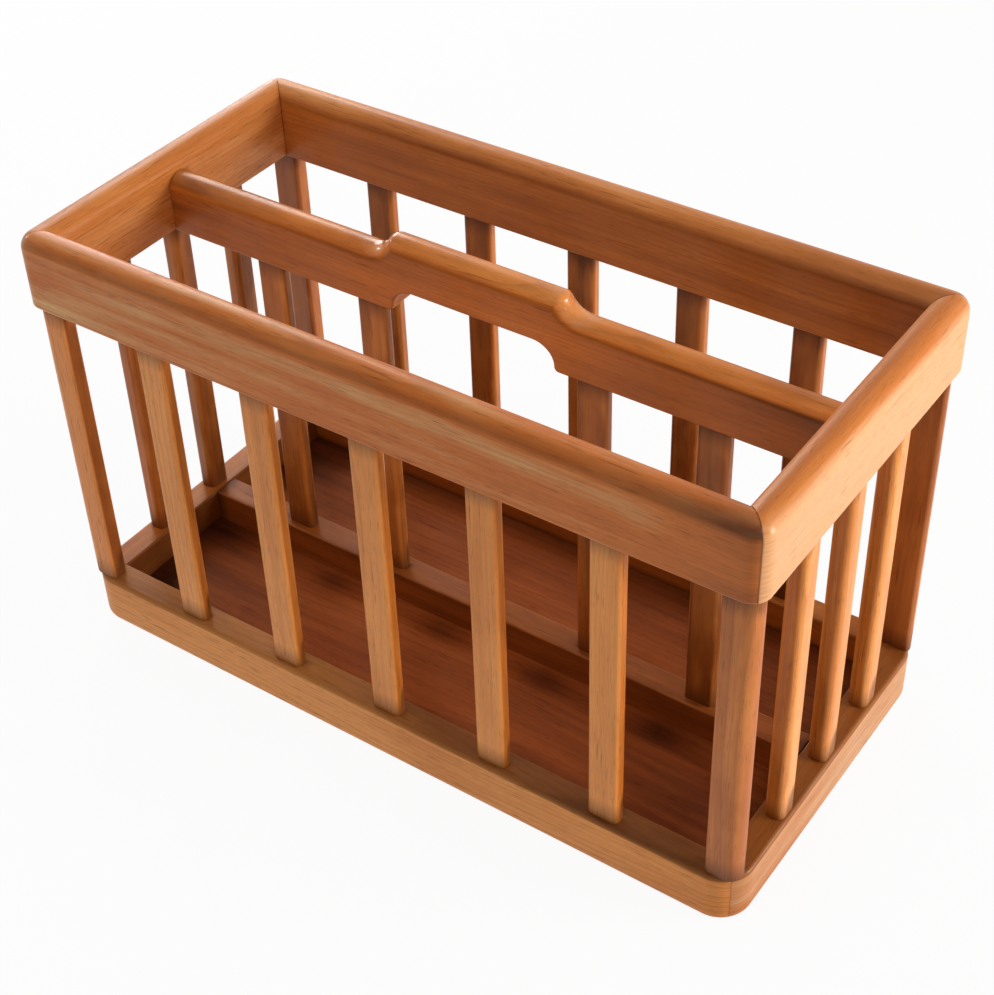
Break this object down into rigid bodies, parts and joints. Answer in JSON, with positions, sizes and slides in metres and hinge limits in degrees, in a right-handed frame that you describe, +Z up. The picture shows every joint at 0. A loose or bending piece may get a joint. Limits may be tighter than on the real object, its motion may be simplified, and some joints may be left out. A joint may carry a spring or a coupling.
{
  "type": "magazine basket",
  "caption": "Free-standing slatted wooden magazine basket with mitred top and base frames, a floor, and a divider board with a hand grip between two bays.",
  "frame": {"origin": "on the surface that the basket stands on, under the middle of the basket", "axes": "+X along the length of the basket, towards its right end; +Y from the front long side to the back one; +Z up"},
  "size_m": [0.44, 0.214, 0.265],
  "materials": {
    "rail_wood": "oiled hardwood, satin",
    "post_wood": "oiled hardwood, satin",
    "slat_wood": "oiled hardwood, satin",
    "divider_wood": "oiled hardwood, satin, a little darker",
    "floor_wood": "dark oiled hardwood, satin"
  },
  "bodies": {
    "root": {"top_rail_front": "rail_wood", "top_rail_right": "rail_wood", "top_rail_back": "rail_wood", "top_rail_left": "rail_wood", "base_rail_front": "rail_wood", "base_rail_right": "rail_wood", "base_rail_back": "rail_wood", "base_rail_left": "rail_wood", "floor_panel": "floor_wood", "divider_board": "divider_wood", "divider_sill": "divider_wood", "front_slat_1": "slat_wood", "front_slat_2": "slat_wood", "front_slat_3": "slat_wood", "front_slat_4": "slat_wood", "front_slat_5": "slat_wood", "back_slat_1": "slat_wood", "back_slat_2": "slat_wood", "back_slat_3": "slat_wood", "back_slat_4": "slat_wood", "back_slat_5": "slat_wood", "left_slat_1": "slat_wood", "left_slat_2": "slat_wood", "left_slat_3": "slat_wood", "right_slat_1": "slat_wood", "right_slat_2": "slat_wood", "right_slat_3": "slat_wood", "corner_post_front_left": "post_wood", "corner_post_front_right": "post_wood", "corner_post_back_left": "post_wood", "corner_post_back_right": "post_wood", "divider_slat_1": "slat_wood", "divider_slat_2": "slat_wood", "divider_slat_3": "slat_wood", "divider_slat_4": "slat_wood"}
  },
  "joints": []
}
